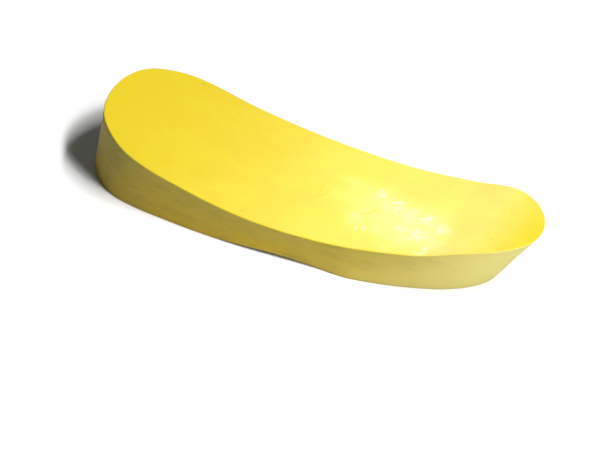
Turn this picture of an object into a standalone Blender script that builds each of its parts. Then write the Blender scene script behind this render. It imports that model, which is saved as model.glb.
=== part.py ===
"""Felling wedge: one solid moulded plastic block with a dished top.

The heel (-X) is thick and blunt, the toe (+X) is thinner, and the top dips between them. The
underside rests on a heel pad and a toe pad, with a shallow relief across the middle. The walls
lean: the heel's foot reaches out behind the top, and the toe's wall is raked back underneath.

Frame: origin at the middle of the footprint on the floor, +X towards the toe, +Z up.
"""
import math

import bmesh
import bpy
from mathutils import Vector

# Driving dimensions, in metres. Places along the wedge are measured from the heel's foot.
LENGTH = 0.2032            # heel foot to toe tip, an 8 inch wedge
HEEL_LEAN = 0.0073         # the top starts this far in from the heel's foot
TOE_RAKE = 0.0189          # the underside ends this far short of the toe's tip
TOP_LENGTH = LENGTH - HEEL_LEAN
FOOT_LENGTH = LENGTH - TOE_RAKE

# Half widths of the top and of the underside: (fraction of its length, half width).
TOP_OUTLINE = [
    (0.00, 0.0),
    (0.04, 0.0220),
    (0.12, 0.0305),
    (0.25, 0.0321),
    (0.45, 0.0325),
    (0.70, 0.0295),
    (0.84, 0.0266),
    (0.92, 0.0217),
    (1.00, 0.0),
]
FOOT_OUTLINE = [
    (0.00, 0.0),
    (0.04, 0.0183),
    (0.12, 0.0280),
    (0.25, 0.0316),
    (0.45, 0.0328),
    (0.64, 0.0308),
    (0.72, 0.0305),
    (0.88, 0.0220),
    (1.00, 0.0),
]

# Height of the top along its centre line: (fraction of the top's length, height).
TOP_PROFILE = [
    (0.00, 0.0353),
    (0.20, 0.0222),
    (0.40, 0.0155),
    (0.60, 0.0152),
    (0.78, 0.0205),
    (0.90, 0.0271),
    (1.00, 0.0273),
]

# The underside's relief, and the stretches where the foot's outline follows the top's.
RELIEF_START = 0.0661
RELIEF_END = 0.1288
RELIEF_DEPTH = 0.0015
PLUMB_START = 0.0295
PLUMB_END = 0.1217

EDGE_RADIUS = 0.0008
EDGE_STEPS = 3
STATIONS = 64

PLASTIC_YELLOW = (0.87, 0.66, 0.05, 1.0)
PLASTIC_ROUGHNESS = 0.38


def clear_scene():
    for old in list(bpy.data.objects):
        bpy.data.objects.remove(old, do_unlink=True)


def station_slopes(stations):
    """Slope at each station, from its neighbours, so that a curve through them is smooth."""
    slopes = [0.0] * len(stations)
    for index in range(1, len(stations) - 1):
        before, after = stations[index - 1], stations[index + 1]
        slopes[index] = (after[1] - before[1]) / (after[0] - before[0])
    for end, inner in ((0, 1), (-1, -2)):
        run = stations[inner][0] - stations[end][0]
        rise = stations[inner][1] - stations[end][1]
        slopes[end] = 2.0 * rise / run - slopes[inner]
    return slopes


def smooth_curve(stations, place):
    """Value at a place of the smooth curve through the stations."""
    slopes = station_slopes(stations)
    index = 0
    while index < len(stations) - 2 and place > stations[index + 1][0]:
        index += 1
    (start, low), (end, high) = stations[index], stations[index + 1]
    span = end - start
    t = (place - start) / span
    return (
        low * (2.0 * t ** 3 - 3.0 * t ** 2 + 1.0)
        + slopes[index] * span * (t ** 3 - 2.0 * t ** 2 + t)
        + high * (3.0 * t ** 2 - 2.0 * t ** 3)
        + slopes[index + 1] * span * (t ** 3 - t ** 2)
    )


def half_width(outline, place):
    """Half the width of an outline. Its square runs smoothly, which makes both ends round."""
    squares = [(at, half ** 2) for at, half in outline]
    return math.sqrt(max(smooth_curve(squares, place), 0.0))


def top_point(x):
    """Point of the top's edge at x."""
    place = (x - HEEL_LEAN) / TOP_LENGTH
    return Vector((x, half_width(TOP_OUTLINE, place), smooth_curve(TOP_PROFILE, place)))


def foot_point(x):
    """Point of the underside's edge at x: flat pads, and the relief between them."""
    height = 0.0
    if RELIEF_START < x < RELIEF_END:
        along = (x - RELIEF_START) / (RELIEF_END - RELIEF_START)
        height = RELIEF_DEPTH * math.sin(math.pi * along) ** 2
    return Vector((x, half_width(FOOT_OUTLINE, x / FOOT_LENGTH), height))


def foot_place(top_x):
    """Where the wall below a point of the top's edge lands: plumb, except at both ends."""
    if top_x < PLUMB_START:
        return PLUMB_START * (top_x - HEEL_LEAN) / (PLUMB_START - HEEL_LEAN)
    if top_x > PLUMB_END:
        run = (top_x - PLUMB_END) / (LENGTH - PLUMB_END)
        return PLUMB_END + run * (FOOT_LENGTH - PLUMB_END)
    return top_x


def inward(edge_point, x, low_end, high_end):
    """Unit vector from a face's edge into that face, square to the outline in plan."""
    step = 0.00001
    before = edge_point(max(x - step, low_end))
    after = edge_point(min(x + step, high_end))
    run = after - before
    if x - step < low_end:
        across = Vector((1.0, 0.0))
    elif x + step > high_end:
        across = Vector((-1.0, 0.0))
    else:
        across = Vector((run.y, -run.x)).normalized()
    return Vector((across.x, across.y, across.x * run.z / run.x)).normalized()


def rounded_edge(start, corner, end):
    """Points of a rounded edge from start to end, drawn towards the corner."""
    points = []
    for step in range(EDGE_STEPS + 1):
        t = step / EDGE_STEPS
        points.append(start * (1.0 - t) ** 2 + corner * 2.0 * t * (1.0 - t) + end * t ** 2)
    return points


def wall_section(top_x):
    """Points up the wall at one station, from the underside's face to the top's face."""
    foot_x = foot_place(top_x)
    foot = foot_point(foot_x)
    top = top_point(top_x)
    up = (top - foot).normalized() * EDGE_RADIUS
    foot_in = inward(foot_point, foot_x, 0.0, FOOT_LENGTH) * EDGE_RADIUS
    top_in = inward(top_point, top_x, HEEL_LEAN, LENGTH) * EDGE_RADIUS
    lower = rounded_edge(foot + foot_in, foot, foot + up)
    upper = rounded_edge(top - up, top, top + top_in)
    return lower + upper


def station_places():
    """Places along the top's edge, close together where its round ends need them."""
    places = []
    for index in range(STATIONS + 1):
        turn = math.pi * index / STATIONS
        places.append(HEEL_LEAN + TOP_LENGTH * 0.5 * (1.0 - math.cos(turn)))
    return places


def half_wedge():
    """The half at +Y, open at the middle plane: its wall, and its share of both faces."""
    half = bmesh.new()
    columns = []
    for top_x in station_places():
        section = wall_section(top_x)
        under_middle = Vector((section[0].x, 0.0, section[0].z))
        top_middle = Vector((section[-1].x, 0.0, section[-1].z))
        points = [under_middle] + section + [top_middle]
        columns.append([half.verts.new(point) for point in points])
    for before, after in zip(columns, columns[1:]):
        for row in range(len(before) - 1):
            half.faces.new((before[row], before[row + 1], after[row + 1], after[row]))
    bmesh.ops.remove_doubles(half, verts=half.verts, dist=0.000001)
    bmesh.ops.dissolve_degenerate(half, edges=half.edges, dist=0.0000001)
    bmesh.ops.translate(half, verts=half.verts, vec=(-LENGTH / 2.0, 0.0, 0.0))
    return half


def plastic_material():
    material = bpy.data.materials.new("yellow_plastic")
    material.use_nodes = True
    shader = material.node_tree.nodes["Principled BSDF"]
    shader.inputs["Base Color"].default_value = PLASTIC_YELLOW
    shader.inputs["Roughness"].default_value = PLASTIC_ROUGHNESS
    shader.inputs["Metallic"].default_value = 0.0
    return material


def make_wedge_body(collection):
    half = half_wedge()
    data = bpy.data.meshes.new("wedge_body")
    half.to_mesh(data)
    half.free()
    data.materials.append(plastic_material())
    data.shade_smooth()
    data.set_sharp_from_angle(angle=math.radians(40.0))
    body = bpy.data.objects.new("wedge_body", data)
    collection.objects.link(body)
    mirror = body.modifiers.new("other_half", "MIRROR")
    mirror.use_axis = (False, True, False)
    mirror.use_clip = True
    mirror.merge_threshold = 0.00001
    return body


def main():
    clear_scene()
    collection = bpy.data.collections.new("felling_wedge")
    bpy.context.scene.collection.children.link(collection)
    make_wedge_body(collection)


main()
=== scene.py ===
"""Looks of the felling wedge: one moulded plastic block on a pale floor in soft studio light.

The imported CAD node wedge_body is a coarse stand-in for collision. This script builds the block
again as a fine mesh, with its rounded rim, pits and scratches, and gives it a procedural plastic.
Lengths are in metres, and angles in radians.
"""
import math

import bmesh
import bpy
from mathutils import Matrix, Vector, noise


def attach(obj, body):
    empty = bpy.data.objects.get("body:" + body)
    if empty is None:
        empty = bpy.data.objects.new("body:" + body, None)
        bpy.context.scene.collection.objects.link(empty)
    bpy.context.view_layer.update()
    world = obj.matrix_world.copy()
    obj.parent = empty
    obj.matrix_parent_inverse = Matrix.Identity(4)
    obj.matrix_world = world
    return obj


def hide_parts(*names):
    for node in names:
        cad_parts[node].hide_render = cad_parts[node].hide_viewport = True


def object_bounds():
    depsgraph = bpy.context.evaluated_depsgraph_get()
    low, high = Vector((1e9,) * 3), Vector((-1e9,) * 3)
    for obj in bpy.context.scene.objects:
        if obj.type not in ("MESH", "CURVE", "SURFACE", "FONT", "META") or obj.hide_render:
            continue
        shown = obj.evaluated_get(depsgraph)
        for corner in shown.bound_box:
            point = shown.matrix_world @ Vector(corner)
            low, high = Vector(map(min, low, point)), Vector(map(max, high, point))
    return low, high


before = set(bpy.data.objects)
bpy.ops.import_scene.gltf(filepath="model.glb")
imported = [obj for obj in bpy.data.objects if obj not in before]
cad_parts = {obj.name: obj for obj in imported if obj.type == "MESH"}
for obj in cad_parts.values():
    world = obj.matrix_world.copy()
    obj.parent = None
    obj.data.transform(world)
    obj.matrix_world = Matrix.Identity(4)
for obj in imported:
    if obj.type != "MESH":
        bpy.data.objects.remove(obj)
cad_low, cad_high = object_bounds()

# The block's sizes, as in the CAD model. Places along it are measured from the heel's foot.
LENGTH = 0.2032
HEEL_LEAN = 0.0073
TOE_RAKE = 0.0189
TOP_LENGTH = LENGTH - HEEL_LEAN
FOOT_LENGTH = LENGTH - TOE_RAKE

# Outlines in plan: (place from heel to toe, 0 to 1, half width there).
TOP_OUTLINE = [
    (0.00, 0.0),
    (0.04, 0.0220),
    (0.12, 0.0305),
    (0.25, 0.0321),
    (0.45, 0.0325),
    (0.70, 0.0295),
    (0.84, 0.0266),
    (0.92, 0.0217),
    (1.00, 0.0),
]
FOOT_OUTLINE = [
    (0.00, 0.0),
    (0.04, 0.0183),
    (0.12, 0.0280),
    (0.25, 0.0316),
    (0.45, 0.0328),
    (0.64, 0.0308),
    (0.72, 0.0305),
    (0.88, 0.0220),
    (1.00, 0.0),
]

# The dished top's height: (place from heel to toe, 0 to 1, height there).
TOP_PROFILE = [
    (0.00, 0.0353),
    (0.20, 0.0222),
    (0.40, 0.0155),
    (0.60, 0.0152),
    (0.78, 0.0205),
    (0.90, 0.0271),
    (1.00, 0.0273),
]

# The shallow hollow across the underside.
RELIEF_START = 0.0661
RELIEF_END = 0.1288
RELIEF_DEPTH = 0.0015

# Between these places along the top's edge, the wall's foot lies straight below it.
PLUMB_START = 0.0295
PLUMB_END = 0.1217

MIDDLE_X = (cad_low.x + cad_high.x) / 2.0

# The fine mesh: its rounded rims, and how many rows, columns and stations it has.
RIM_RADIUS = 0.0006
RIM_STEPS = 4
WALL_ROWS = 14
TOP_COLUMNS = 120
FOOT_COLUMNS = 24
STATIONS = 400
OUTLINE_SAMPLES = 8000
EDGE_STEP = 0.00001
WELD_DISTANCE = 0.000002
SLIVER_LENGTH = 0.0000002

# Marks are made only above this height, which leaves out the underside.
ABOVE_UNDERSIDE = 0.008

# Unevenness of the moulding: heights in metres, and blotches in a metre.
TOP_SWELL = 0.00012
TOP_SWELL_PER_M = 34.0
TOP_RIPPLE = 0.00003
TOP_RIPPLE_PER_M = 130.0
TOP_CALM_RIM = 0.004
WALL_RIPPLE = 0.00012
WALL_RIPPLE_PER_M = 40.0
WALL_RIPPLE_SQUASH = 4.0
WALL_CALM_STEEPNESS = 5.0

# Pits in the top: (distance from the heel's foot, distance off the centre line, radius).
PITS = [
    (0.0333, 0.0283, 0.0006),
    (0.0502, 0.0115, 0.0003),
    (0.0544, 0.0134, 0.0003),
    (0.067, 0.004, 0.0004),
    (0.071, -0.008, 0.0004),
    (0.075, -0.010, 0.0005),
    (0.078, -0.010, 0.0004),
    (0.0825, -0.0289, 0.0006),
    (0.099, -0.014, 0.0004),
    (0.128, 0.020, 0.0004),
    (0.187, -0.012, 0.0005),
]
PIT_DEPTH_BY_RADIUS = 0.7

# Scratches in the top: points along each, from the heel's foot and off the centre line.
SCRATCHES = [
    [(0.1036, 0.0028), (0.1042, -0.0010), (0.1046, -0.0055)],
    [(0.1046, -0.0055), (0.1066, -0.0028), (0.1079, 0.0011)],
    [(0.1234, -0.0026), (0.1240, -0.0058), (0.1255, -0.0080), (0.1295, -0.0088)],
    [(0.1255, -0.0080), (0.1285, -0.0062), (0.1312, -0.0026)],
]
SCRATCH_DEPTH = 0.00010
SCRATCH_HALF_WIDTH = 0.0005

# Faces that look up at least this much are cut finer near a pit or scratch. The margin counts in
# the pit's radius or the scratch's half width.
FACES_UP = 0.8
MARK_MARGIN = 2.0
MARK_CUTS = 3

# Flecks in the top, of wear and painted highlight: (distance from the heel's foot, off the
# centre line, radius).
WORN_AND_SHEEN_FLECKS = [
    (0.1281, 0.0080, 0.0050),
    (0.1365, 0.0030, 0.0075),
    (0.1545, -0.0034, 0.0065),
    (0.1630, -0.0080, 0.0065),
    (0.1551, -0.0142, 0.0070),
    (0.1308, -0.0169, 0.0040),
    (0.1615, -0.0230, 0.0060),
]

# Colours, linear.
TOP_DEEP = (0.400, 0.302, 0.0088, 1.0)
TOP_LIGHT = (0.430, 0.340, 0.0118, 1.0)
SCRATCH_DULL = (0.30, 0.255, 0.0080, 1.0)
# Pale colour of the scuffs and flecks: partly wear, partly painted highlight.
PALE_WEAR_AND_SHEEN = (0.72, 0.70, 0.36, 1.0)
# The side's colours: the top's yellow darkened by painted shade.
SHADED_SIDE_MUSTARD = (0.338, 0.234, 0.0095, 1.0)
SHADED_SIDE_KHAKI = (0.288, 0.227, 0.026, 1.0)
SHADED_SIDE_OLIVE = (0.206, 0.158, 0.012, 1.0)
# Painted light on the side towards the toe.
PAINTED_LIGHT_CREAM = (0.40, 0.355, 0.110, 1.0)

# Finish: roughness, and the strength of the gloss.
TOP_ROUGHNESS = 0.34
SIDE_ROUGHNESS = 0.62
SIDE_ROUGHNESS_SPREAD = 0.06
POLISHED_ROUGHNESS = 0.28
TOP_GLOSS = 0.22
POLISHED_GLOSS = 0.45
SIDE_GLOSS = 0.25
BUMP_HEIGHT = 0.00002

# Blotches in a metre of each noise in the material.
CLOUDS_PER_M = 45.0
SCUFFS_PER_M = 95.0
FLECKS_PER_M = 560.0
BORDER_PER_M = 70.0
STREAKS_PER_M = 36.0
STAINS_PER_M = 90.0
GRAIN_PER_M = 900.0
BRUSHING_PER_M = 160.0
PAPER_PER_M = 6.0

# Between which values of its noise each pattern goes from nothing to full.
CLOUDS_SPAN = (0.3, 0.7)
SCUFFS_SPAN = (0.45, 0.70)
FLECKS_SPAN = (0.46, 0.66)
STREAKS_SPAN = (0.3, 0.7)
STAINS_SPAN = (0.46, 0.68)

# The side's upper band starts between these heights, up the wall plus the streaks' share.
BAND_SPAN = (0.75, 1.45)
BAND_RAGGEDNESS = 1.1

# Between these upward parts of the normal, the side's looks, darkened by painted shade, give way
# to the top's.
TOP_NORMAL_SPAN = (0.70, 0.88)

# How strongly each mark changes the colour under it, from 0 to 1.
SCUFF_AND_SHEEN_STRENGTH = 0.28
FLECK_AND_SHEEN_STRENGTH = 0.75
SCRATCH_STRENGTH = 0.35
STAIN_STRENGTH = 0.6
PAINTED_LIGHT_STRENGTH = 0.9

# Painted shade: the top is darker in colour at the heel, as if less light fell there. How far
# the clouds shift at two places, which are measured from the block's middle.
PAINTED_SHADE_HEEL_X = -0.10
PAINTED_SHADE_END_X = 0.02
PAINTED_SHADE_HEEL_SHIFT = -0.22
PAINTED_SHADE_END_SHIFT = 0.05

# Painted light: the side turns cream towards the toe, from the first place to the second, and
# nearer the heel low on the wall.
PAINTED_LIGHT_START_X = 0.005
PAINTED_LIGHT_END_X = 0.100
PAINTED_LIGHT_SLANT = 0.05

# The patch in the dish that wear has polished: its middle, half sizes, turn and ragged border.
POLISHED_MIDDLE = (0.040, -0.007, 0.0)
POLISHED_HALF_LENGTH = 0.040
POLISHED_HALF_WIDTH = 0.017
POLISHED_TURN = math.radians(-24.0)
POLISHED_RAGGEDNESS = 1.2
POLISHED_SPAN = (0.7, 1.9)

# Floor and lights. Places are from the block's middle. Powers are in watts, and the sun's
# strength is in watts per square metre.
FLOOR_HALF_SIZE = 15.0
FLOOR_PALE = (0.65, 0.65, 0.65, 1.0)
FLOOR_WHITE = (0.68, 0.68, 0.68, 1.0)
SUN_DIRECTION = (0.60, -0.18, 0.78)
SUN_STRENGTH = 1.4
SUN_ANGLE = math.radians(6.0)
KEY_PLACE = (2.80, -0.55, 4.08)
KEY_ALONG = (-0.45, 0.893, 0.0)
KEY_LENGTH = 2.6
KEY_WIDTH = 0.30
KEY_POWER = 350.0
PANEL_PLACE = (-0.50, 0.70, 0.47)
PANEL_WIDTH = 0.55
PANEL_HEIGHT = 0.52
PANEL_POWER = 4.7
OVERHEAD_PLACE = (0.036, 0.002, 0.120)
OVERHEAD_SIZE = 0.05
OVERHEAD_POWER = 0.112
FILL_PLACE = (0.225, -0.150, 0.050)
FILL_SIZE = 0.14
FILL_POWER = 0.44
WORLD_COLOR = (0.94, 1.0, 0.95, 1.0)
WORLD_STRENGTH = 0.10
EXPOSURE = 0.0
GAMMA = 1.0

# Camera: where it looks from, how far, and the aim's shift from the floor below the top's middle.
CAMERA_AZIMUTH = math.radians(28.0)
CAMERA_ELEVATION = math.radians(38.0)
CAMERA_LENS_MM = 243.3
CAMERA_SENSOR_MM = 36.0
CAMERA_DISTANCE = 1.674
AIM_RIGHT = -0.05038 * TOP_LENGTH
AIM_UP = -0.01328 * TOP_LENGTH


def station_slopes(stations):
    """Slope of the smooth curve at each station."""
    slopes = [0.0] * len(stations)
    for index in range(1, len(stations) - 1):
        before, after = stations[index - 1], stations[index + 1]
        slopes[index] = (after[1] - before[1]) / (after[0] - before[0])
    for end, inner in ((0, 1), (-1, -2)):
        run = stations[inner][0] - stations[end][0]
        rise = stations[inner][1] - stations[end][1]
        slopes[end] = 2.0 * rise / run - slopes[inner]
    return slopes


def smooth_curve(stations, place):
    """Value at a place of the smooth curve through the stations."""
    slopes = station_slopes(stations)
    index = 0
    while index < len(stations) - 2 and place > stations[index + 1][0]:
        index += 1
    (start, low), (end, high) = stations[index], stations[index + 1]
    span = end - start
    t = (place - start) / span
    return (
        low * (2.0 * t ** 3 - 3.0 * t ** 2 + 1.0)
        + slopes[index] * span * (t ** 3 - 2.0 * t ** 2 + t)
        + high * (3.0 * t ** 2 - 2.0 * t ** 3)
        + slopes[index + 1] * span * (t ** 3 - t ** 2)
    )


def half_width(outline, place):
    """Half the width of an outline. Its square runs smoothly, which makes both ends round."""
    squares = [(at, half ** 2) for at, half in outline]
    return math.sqrt(max(smooth_curve(squares, place), 0.0))


def top_point(x):
    place = (x - HEEL_LEAN) / TOP_LENGTH
    return Vector((x, half_width(TOP_OUTLINE, place), smooth_curve(TOP_PROFILE, place)))


def foot_point(x):
    height = 0.0
    if RELIEF_START < x < RELIEF_END:
        along = (x - RELIEF_START) / (RELIEF_END - RELIEF_START)
        height = RELIEF_DEPTH * math.sin(math.pi * along) ** 2
    return Vector((x, half_width(FOOT_OUTLINE, x / FOOT_LENGTH), height))


def foot_place(top_x):
    """Where the wall below a point of the top's edge lands: plumb, except at both ends."""
    if top_x < PLUMB_START:
        return PLUMB_START * (top_x - HEEL_LEAN) / (PLUMB_START - HEEL_LEAN)
    if top_x > PLUMB_END:
        run = (top_x - PLUMB_END) / (LENGTH - PLUMB_END)
        return PLUMB_END + run * (FOOT_LENGTH - PLUMB_END)
    return top_x


def inward(edge_point, x, low_end, high_end):
    """Unit vector from a face's edge into that face, square to the outline in plan."""
    before = edge_point(max(x - EDGE_STEP, low_end))
    after = edge_point(min(x + EDGE_STEP, high_end))
    run = after - before
    if x - EDGE_STEP < low_end:
        across = Vector((1.0, 0.0))
    elif x + EDGE_STEP > high_end:
        across = Vector((-1.0, 0.0))
    else:
        across = Vector((run.y, -run.x)).normalized()
    return Vector((across.x, across.y, across.x * run.z / run.x)).normalized()


def rounded_edge(start, corner, end):
    """Points of a curve that rounds off a corner from start to end."""
    points = []
    for step in range(RIM_STEPS + 1):
        t = step / RIM_STEPS
        points.append(start * (1.0 - t) ** 2 + corner * 2.0 * t * (1.0 - t) + end * t ** 2)
    return points


def wall_section(top_x):
    """Points up the wall at one station, from the underside's face to the top's face."""
    foot_x = foot_place(top_x)
    foot = foot_point(foot_x)
    top = top_point(top_x)
    up = (top - foot).normalized() * RIM_RADIUS
    foot_in = inward(foot_point, foot_x, 0.0, FOOT_LENGTH) * RIM_RADIUS
    top_in = inward(top_point, top_x, HEEL_LEAN, LENGTH) * RIM_RADIUS
    lower = rounded_edge(foot + foot_in, foot, foot + up)
    upper = rounded_edge(top - up, top, top + top_in)
    wall = []
    for row in range(1, WALL_ROWS):
        wall.append(lower[-1].lerp(upper[0], row / WALL_ROWS))
    return lower + wall + upper


def station_places():
    """Places along the top's edge, evenly spaced round its outline in plan."""
    walk = [0.0]
    places = []
    for index in range(OUTLINE_SAMPLES + 1):
        turn = math.pi * index / OUTLINE_SAMPLES
        places.append(HEEL_LEAN + TOP_LENGTH * 0.5 * (1.0 - math.cos(turn)))
    last = top_point(places[0])
    for x in places[1:]:
        point = top_point(x)
        walk.append(walk[-1] + math.hypot(point.x - last.x, point.y - last.y))
        last = point
    chosen = []
    index = 0
    for station in range(STATIONS + 1):
        goal = walk[-1] * station / STATIONS
        while index < OUTLINE_SAMPLES - 1 and walk[index + 1] < goal:
            index += 1
        part = (goal - walk[index]) / (walk[index + 1] - walk[index])
        part = min(max(part, 0.0), 1.0)
        chosen.append(places[index] + part * (places[index + 1] - places[index]))
    return chosen


def mirrored(point):
    return Vector((point.x, -point.y, point.z))


def smoothed(value):
    """Smooth step from 0 to 1 as value runs from 0 to 1."""
    value = min(max(value, 0.0), 1.0)
    return value * value * (3.0 - 2.0 * value)


def top_unevenness(point, from_rim):
    """Height that the top's slow swells and small ripples add, none of it at the rim."""
    swell = TOP_SWELL * noise.noise(point * TOP_SWELL_PER_M)
    ripple = TOP_RIPPLE * noise.noise(point * TOP_RIPPLE_PER_M)
    return (swell + ripple) * smoothed(from_rim / TOP_CALM_RIM)


def wall_unevenness(point, up_wall):
    """How far the wall's long shallow ripples stand out, none of it at its two rims."""
    along = Vector((point.x, point.y, point.z * WALL_RIPPLE_SQUASH))
    near_foot = smoothed(up_wall * WALL_CALM_STEEPNESS)
    near_top = smoothed((1.0 - up_wall) * WALL_CALM_STEEPNESS)
    calm = near_foot * near_top
    return WALL_RIPPLE * noise.noise(along * WALL_RIPPLE_PER_M) * calm


def across_face(start, count):
    """Points straight across a face from start to its mirror image, both ends left out."""
    return [start.lerp(mirrored(start), index / count) for index in range(1, count)]


def section_loop(top_x):
    """Closed loop round the block at one station: (point, height up the wall from 0 to 1)."""
    wall = wall_section(top_x)
    last = len(wall) - 1
    foot_x = foot_place(top_x)
    outward = -inward(top_point, top_x, HEEL_LEAN, LENGTH)
    outward.z = 0.0
    loop = []
    for row, point in enumerate(wall):
        up_wall = row / last
        loop.append((point + outward * wall_unevenness(point, up_wall), up_wall))
    for point in across_face(wall[-1], TOP_COLUMNS):
        lift = top_unevenness(point, wall[-1].y - abs(point.y))
        loop.append((point + Vector((0.0, 0.0, lift)), 1.0))
    other_outward = mirrored(outward)
    for row, point in enumerate(reversed(wall)):
        point = mirrored(point)
        up_wall = 1.0 - row / last
        loop.append((point + other_outward * wall_unevenness(point, up_wall), up_wall))
    for point in across_face(mirrored(wall[0]), FOOT_COLUMNS):
        loop.append((point, 0.0))
    return loop


def line_distance(point, start, end):
    """Distance from a point to the straight line between two points."""
    run = end - start
    along = min(max((point - start).dot(run) / run.length_squared, 0.0), 1.0)
    return (point - start - run * along).length


def scratch_lines():
    """The scratches as straight lines: (start, end)."""
    lines = []
    for scratch in SCRATCHES:
        points = [Vector(place) for place in scratch]
        lines.extend(zip(points, points[1:]))
    return lines


def near_marks(place, lines):
    """Whether a place is at a pit or scratch, or just beside one."""
    for x, y, radius in PITS:
        if (place - Vector((x, y))).length < radius * MARK_MARGIN:
            return True
    reach = SCRATCH_HALF_WIDTH * MARK_MARGIN
    return any(line_distance(place, *line) < reach for line in lines)


def weld(block):
    """Joins vertices that lie on each other and drops the slivers between them."""
    bmesh.ops.remove_doubles(block, verts=block.verts, dist=WELD_DISTANCE)
    bmesh.ops.dissolve_degenerate(block, edges=block.edges, dist=SLIVER_LENGTH)


def mark_top(block):
    """Presses the pits and scratches into the top, with finer faces where they are."""
    scored_layer = block.verts.layers.float.new("scored")
    lines = scratch_lines()
    near = []
    for face in block.faces:
        middle = face.calc_center_median()
        if face.normal.z > FACES_UP and near_marks(middle.xy, lines):
            near.append(face)
    edges = {edge for face in near for edge in face.edges}
    bmesh.ops.subdivide_edges(block, edges=list(edges), cuts=MARK_CUTS, use_grid_fill=True)
    for vert in block.verts:
        if vert.co.z < ABOVE_UNDERSIDE:
            continue
        place = vert.co.xy
        for x, y, radius in PITS:
            reach = (place - Vector((x, y))).length / radius
            vert.co.z -= PIT_DEPTH_BY_RADIUS * radius * smoothed(1.0 - reach)
        far = min(line_distance(place, *line) for line in lines)
        scored = smoothed(1.0 - far / SCRATCH_HALF_WIDTH)
        vert.co.z -= SCRATCH_DEPTH * scored
        vert[scored_layer] = scored


def fan_out(block):
    """Splits each face of more than four corners into a fan round its middle."""
    many_sided = [face for face in block.faces if len(face.verts) > 4]
    made = bmesh.ops.poke(block, faces=many_sided, center_mode="MEAN")
    for vert in made["verts"]:
        around = [edge.other_vert(vert) for edge in vert.link_edges]
        for layer in block.verts.layers.float.values():
            vert[layer] = sum(other[layer] for other in around) / len(around)


def mark_flecks(block):
    """Notes how flecked each vertex is, by wear and painted highlight: 1 in the middle of a
    fleck, 0 at its border.
    """
    worn_and_sheen_layer = block.verts.layers.float.new("worn_and_sheen")
    for vert in block.verts:
        for x, y, radius in WORN_AND_SHEEN_FLECKS:
            reach = (vert.co.xy - Vector((x, y))).length / radius
            if reach < 1.0 and vert.co.z > ABOVE_UNDERSIDE:
                vert[worn_and_sheen_layer] = max(vert[worn_and_sheen_layer], smoothed(1.0 - reach))


def wedge_mesh():
    """The whole block: loops round it at every station, joined, closed at both ends."""
    block = bmesh.new()
    up_wall_layer = block.verts.layers.float.new("up_wall")
    loops = []
    for top_x in station_places():
        loop = []
        for point, up_wall in section_loop(top_x):
            vert = block.verts.new(point)
            vert[up_wall_layer] = up_wall
            loop.append(vert)
        loops.append(loop)
    for before, after in zip(loops, loops[1:]):
        count = len(before)
        for row in range(count):
            after_row = (row + 1) % count
            block.faces.new((before[row], before[after_row], after[after_row], after[row]))
    weld(block)
    bmesh.ops.recalc_face_normals(block, faces=block.faces)
    mark_top(block)
    weld(block)
    fan_out(block)
    mark_flecks(block)
    heel_x = MIDDLE_X - LENGTH / 2.0
    bmesh.ops.translate(block, verts=block.verts, vec=(heel_x, 0.0, cad_low.z))
    data = bpy.data.meshes.new("wedge")
    block.to_mesh(data)
    block.free()
    data.shade_smooth()
    return data


def node(tree, kind, inputs=None, **settings):
    """Adds a node. Each input is a value, or another node's output to link."""
    made = tree.nodes.new(kind)
    for name, value in settings.items():
        setattr(made, name, value)
    for name, value in (inputs or {}).items():
        if isinstance(value, bpy.types.NodeSocket):
            tree.links.new(value, made.inputs[name])
        else:
            made.inputs[name].default_value = value
    return made


def cloud(tree, place, per_metre, stretch=(1.0, 1.0, 1.0), detail=2.0, roughness=0.5):
    """Noise from 0 to 1, with that many blotches in a metre."""
    scale = [per_metre * part for part in stretch]
    moved = node(tree, "ShaderNodeMapping", {"Vector": place, "Scale": scale})
    values = {"Vector": moved.outputs[0], "Scale": 1.0, "Detail": detail, "Roughness": roughness}
    return node(tree, "ShaderNodeTexNoise", values).outputs[0]


def between(tree, value, low, high, start=0.0, end=1.0):
    """start below low, end above high, and a smooth change between them."""
    made = node(tree, "ShaderNodeMapRange", interpolation_type="SMOOTHSTEP")
    tree.links.new(value, made.inputs["Value"])
    made.inputs["From Min"].default_value = low
    made.inputs["From Max"].default_value = high
    made.inputs["To Min"].default_value = start
    made.inputs["To Max"].default_value = end
    return made.outputs[0]


def maths(tree, operation, first, second):
    """One sum, product or the like of two values."""
    return node(tree, "ShaderNodeMath", {0: first, 1: second}, operation=operation).outputs[0]


def blend_colors(tree, factor, first, second):
    """The first colour at factor 0, the second at 1. A Mix node's colour sockets are 6 and 7."""
    made = node(tree, "ShaderNodeMix", {0: factor, 6: first, 7: second}, data_type="RGBA")
    return made.outputs[2]


def blend_values(tree, factor, first, second):
    """The first value at factor 0, the second at 1. A Mix node's value sockets are 2 and 3."""
    made = node(tree, "ShaderNodeMix", {0: factor, 2: first, 3: second}, data_type="FLOAT")
    return made.outputs[0]


def polished_patch(tree, place):
    """1 in the polished patch, 0 well outside it, with a cloudy border."""
    halves = (1.0 / POLISHED_HALF_LENGTH, 1.0 / POLISHED_HALF_WIDTH, 0.0)
    moved = node(
        tree, "ShaderNodeMapping",
        {"Vector": place, "Location": POLISHED_MIDDLE, "Rotation": (0.0, 0.0, POLISHED_TURN)},
        vector_type="TEXTURE",
    )
    scaled = node(
        tree, "ShaderNodeVectorMath", {0: moved.outputs[0], 1: halves}, operation="MULTIPLY",
    )
    far = node(tree, "ShaderNodeVectorMath", {0: scaled.outputs[0]}, operation="LENGTH")
    border = cloud(tree, place, BORDER_PER_M, stretch=(0.7, 1.0, 1.0), detail=4.0, roughness=0.6)
    ragged = maths(tree, "MULTIPLY", border, POLISHED_RAGGEDNESS)
    reach = maths(tree, "ADD", far.outputs["Value"], ragged)
    return between(tree, reach, *POLISHED_SPAN, 1.0, 0.0)


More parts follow.
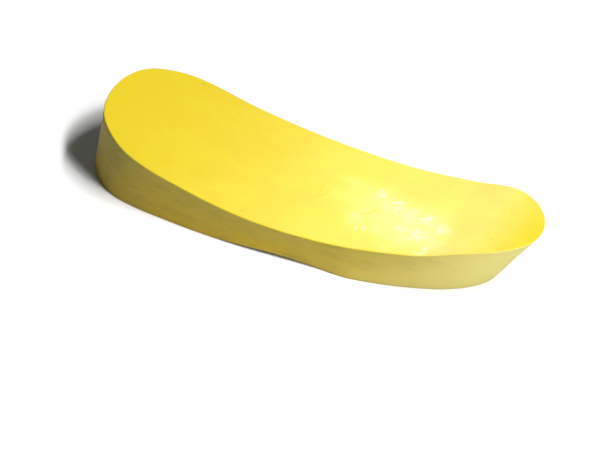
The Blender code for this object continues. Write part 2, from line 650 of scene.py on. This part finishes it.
def top_colors(tree, place, along, polished):
    """Slightly cloudy yellow with painted shade at the heel, scratches, and pale scuffs and flecks
    that are partly wear and partly painted highlight.
    """
    clouds = cloud(tree, place, CLOUDS_PER_M, stretch=(0.7, 1.0, 1.0), detail=5.0, roughness=0.6)
    # Painted shade: the clouds lean to the deep yellow at the heel.
    painted_heel_shade = between(
        tree, along, PAINTED_SHADE_HEEL_X, PAINTED_SHADE_END_X, PAINTED_SHADE_HEEL_SHIFT, PAINTED_SHADE_END_SHIFT,
    )
    clouds = maths(tree, "ADD", clouds, painted_heel_shade)
    color = blend_colors(tree, between(tree, clouds, *CLOUDS_SPAN), TOP_DEEP, TOP_LIGHT)
    # Pale scuffs in the polished patch, and flecks: partly wear, partly painted highlight.
    scuffs = cloud(tree, place, SCUFFS_PER_M, stretch=(0.8, 1.0, 1.0), detail=5.0, roughness=0.65)
    worn_and_sheen = node(tree, "ShaderNodeAttribute", attribute_name="worn_and_sheen").outputs["Fac"]
    fine = cloud(tree, place, FLECKS_PER_M, stretch=(0.8, 1.0, 1.0))
    flecked = maths(tree, "MULTIPLY", between(tree, fine, *FLECKS_SPAN), worn_and_sheen)
    flecked = maths(tree, "MULTIPLY", flecked, FLECK_AND_SHEEN_STRENGTH)
    wear_and_sheen = maths(tree, "MULTIPLY", between(tree, scuffs, *SCUFFS_SPAN), polished)
    wear_and_sheen = maths(tree, "MULTIPLY", wear_and_sheen, SCUFF_AND_SHEEN_STRENGTH)
    wear_and_sheen = maths(tree, "MAXIMUM", wear_and_sheen, flecked)
    color = blend_colors(tree, wear_and_sheen, color, PALE_WEAR_AND_SHEEN)
    scored = node(tree, "ShaderNodeAttribute", attribute_name="scored").outputs["Fac"]
    dulled = maths(tree, "MULTIPLY", scored, SCRATCH_STRENGTH)
    return blend_colors(tree, dulled, color, SCRATCH_DULL)


def shaded_side_colors(tree, place, along, streaks):
    """Colours darkened by painted shade: a mustard lower band, a greyer upper band, stains, and
    painted light in cream towards the toe.
    """
    up_wall = node(tree, "ShaderNodeAttribute", attribute_name="up_wall").outputs["Fac"]
    height = maths(tree, "ADD", up_wall, maths(tree, "MULTIPLY", streaks, BAND_RAGGEDNESS))
    color = blend_colors(tree, between(tree, height, *BAND_SPAN), SHADED_SIDE_MUSTARD, SHADED_SIDE_KHAKI)
    stains = cloud(tree, place, STAINS_PER_M, stretch=(1.0, 1.0, 3.0), detail=7.0, roughness=0.7)
    stained = between(tree, stains, *STAINS_SPAN, 0.0, STAIN_STRENGTH)
    color = blend_colors(tree, stained, color, SHADED_SIDE_OLIVE)
    # Painted light: cream towards the toe, starting nearer the heel low on the wall.
    slant = maths(tree, "MULTIPLY", maths(tree, "SUBTRACT", 0.5, up_wall), PAINTED_LIGHT_SLANT)
    painted_toe_light = maths(tree, "ADD", along, slant)
    painted_toe_light = between(tree, painted_toe_light, PAINTED_LIGHT_START_X, PAINTED_LIGHT_END_X, 0.0, PAINTED_LIGHT_STRENGTH)
    return blend_colors(tree, painted_toe_light, color, PAINTED_LIGHT_CREAM)


def plastic_material():
    """The block's moulded yellow plastic: bright on top, dull and streaked on the side, where
    painted shade darkens its colour.
    """
    material = bpy.data.materials.new("yellow_plastic")
    material.use_nodes = True
    tree = material.node_tree
    shader = tree.nodes["Principled BSDF"]
    coordinates = node(tree, "ShaderNodeTexCoord")
    place = coordinates.outputs["Object"]
    along = node(tree, "ShaderNodeSeparateXYZ", {0: place}).outputs[0]
    facing = node(tree, "ShaderNodeSeparateXYZ", {0: coordinates.outputs["Normal"]})
    on_top = between(tree, facing.outputs[2], *TOP_NORMAL_SPAN)
    polished = polished_patch(tree, place)
    streaks = cloud(tree, place, STREAKS_PER_M, stretch=(1.0, 1.0, 6.0), detail=7.0, roughness=0.68)
    top_color = top_colors(tree, place, along, polished)
    shaded_side_color = shaded_side_colors(tree, place, along, streaks)
    # Painted shade: darker colours on the side, the bright ones on the top.
    color = blend_colors(tree, on_top, shaded_side_color, top_color)
    tree.links.new(color, shader.inputs["Base Color"])

    top_rough = between(tree, polished, 0.0, 1.0, TOP_ROUGHNESS, POLISHED_ROUGHNESS)
    smoother = SIDE_ROUGHNESS - SIDE_ROUGHNESS_SPREAD
    rougher = SIDE_ROUGHNESS + SIDE_ROUGHNESS_SPREAD
    side_rough = between(tree, streaks, *STREAKS_SPAN, smoother, rougher)
    tree.links.new(blend_values(tree, on_top, side_rough, top_rough), shader.inputs["Roughness"])
    gloss = between(tree, polished, 0.0, 1.0, TOP_GLOSS, POLISHED_GLOSS)
    gloss = blend_values(tree, on_top, SIDE_GLOSS, gloss)
    tree.links.new(gloss, shader.inputs["Specular IOR Level"])

    grain = cloud(tree, place, GRAIN_PER_M)
    brushed = cloud(tree, place, BRUSHING_PER_M, stretch=(0.25, 1.0, 2.5), detail=4.0, roughness=0.6)
    relief = maths(tree, "ADD", grain, brushed)
    bump = node(
        tree, "ShaderNodeBump",
        {"Height": relief, "Distance": BUMP_HEIGHT, "Strength": 1.0},
    )
    tree.links.new(bump.outputs[0], shader.inputs["Normal"])
    return material


def make_wedge():
    """The one visible piece. It stands for the CAD node and rides on the only body."""
    data = wedge_mesh()
    data.materials.append(plastic_material())
    wedge = bpy.data.objects.new("wedge", data)
    bpy.context.scene.collection.objects.link(wedge)
    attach(wedge, "root")
    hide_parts("wedge_body")


def make_floor():
    """A plain pale floor, level with the block's underside."""
    sheet = bmesh.new()
    bmesh.ops.create_grid(sheet, x_segments=8, y_segments=8, size=FLOOR_HALF_SIZE)
    bmesh.ops.translate(sheet, verts=sheet.verts, vec=(0.0, 0.0, cad_low.z))
    data = bpy.data.meshes.new("floor")
    sheet.to_mesh(data)
    sheet.free()
    material = bpy.data.materials.new("white_paper")
    material.use_nodes = True
    tree = material.node_tree
    shader = tree.nodes["Principled BSDF"]
    place = node(tree, "ShaderNodeTexCoord").outputs["Object"]
    paper = cloud(tree, place, PAPER_PER_M)
    tree.links.new(blend_colors(tree, paper, FLOOR_PALE, FLOOR_WHITE), shader.inputs["Base Color"])
    shader.inputs["Roughness"].default_value = 0.9
    shader.inputs["Specular IOR Level"].default_value = 0.1
    data.materials.append(material)
    floor = bpy.data.objects.new("floor", data)
    bpy.context.scene.collection.objects.link(floor)


def aim(thing, target):
    """Turns a lamp or camera so that its -Z axis points at the target."""
    thing.rotation_mode = "QUATERNION"
    thing.rotation_quaternion = (target - thing.location).to_track_quat("-Z", "Y")


def add_lamp(name, kind, place, power):
    """A lamp at a place, facing the block's middle, that the camera doesn't see."""
    data = bpy.data.lights.new(name, kind)
    data.energy = power
    lamp = bpy.data.objects.new(name, data)
    bpy.context.scene.collection.objects.link(lamp)
    lamp.location = place
    aim(lamp, Vector((0.0, 0.0, 0.0)))
    lamp.visible_camera = False
    return lamp


def key_turn(place):
    """Turns the key lamp's long side along KEY_ALONG while it faces the block's middle."""
    back = place.normalized()
    side = Vector(KEY_ALONG).cross(back).normalized()
    along = back.cross(side)
    return Matrix((side, along, back)).transposed().to_quaternion()


def make_lights():
    """A sun and a long key lamp for the shadow, a panel for the dish's gloss, two small lamps."""
    sun = add_lamp("sun", "SUN", SUN_DIRECTION, SUN_STRENGTH)
    sun.data.angle = SUN_ANGLE
    key = add_lamp("key", "AREA", KEY_PLACE, KEY_POWER)
    key.data.shape = "RECTANGLE"
    key.data.size = KEY_WIDTH
    key.data.size_y = KEY_LENGTH
    key.rotation_quaternion = key_turn(key.location)
    panel = add_lamp("panel", "AREA", PANEL_PLACE, PANEL_POWER)
    panel.data.shape = "RECTANGLE"
    panel.data.size = PANEL_WIDTH
    panel.data.size_y = PANEL_HEIGHT
    panel.visible_diffuse = False
    above = add_lamp("above", "AREA", OVERHEAD_PLACE, OVERHEAD_POWER)
    above.data.shape = "DISK"
    above.data.size = OVERHEAD_SIZE
    above.rotation_quaternion = (1.0, 0.0, 0.0, 0.0)
    fill = add_lamp("fill", "AREA", FILL_PLACE, FILL_POWER)
    fill.data.shape = "DISK"
    fill.data.size = FILL_SIZE
    world = bpy.data.worlds.new("studio")
    world.use_nodes = True
    background = world.node_tree.nodes["Background"]
    background.inputs["Color"].default_value = WORLD_COLOR
    background.inputs["Strength"].default_value = WORLD_STRENGTH
    bpy.context.scene.world = world


def make_camera():
    """A long lens that looks down on the near side, a little round towards the toe."""
    turn, rise = CAMERA_AZIMUTH, CAMERA_ELEVATION
    right = Vector((math.cos(turn), math.sin(turn), 0.0))
    forward = Vector(
        (-math.sin(turn) * math.cos(rise), math.cos(turn) * math.cos(rise), -math.sin(rise))
    )
    up = right.cross(forward)
    top_middle_x = MIDDLE_X - LENGTH / 2.0 + HEEL_LEAN + TOP_LENGTH / 2.0
    top_middle = Vector((top_middle_x, 0.0, cad_low.z))
    target = top_middle + right * AIM_RIGHT + up * AIM_UP
    data = bpy.data.cameras.new("camera")
    data.sensor_width = CAMERA_SENSOR_MM
    data.lens = CAMERA_LENS_MM
    camera = bpy.data.objects.new("camera", data)
    bpy.context.scene.collection.objects.link(camera)
    camera.location = target - forward * CAMERA_DISTANCE
    aim(camera, target)
    bpy.context.scene.camera = camera


def main():
    make_wedge()
    make_floor()
    make_lights()
    make_camera()
    settings = bpy.context.scene.view_settings
    settings.view_transform = "Standard"
    settings.look = "None"
    settings.exposure = EXPOSURE
    settings.gamma = GAMMA


main()
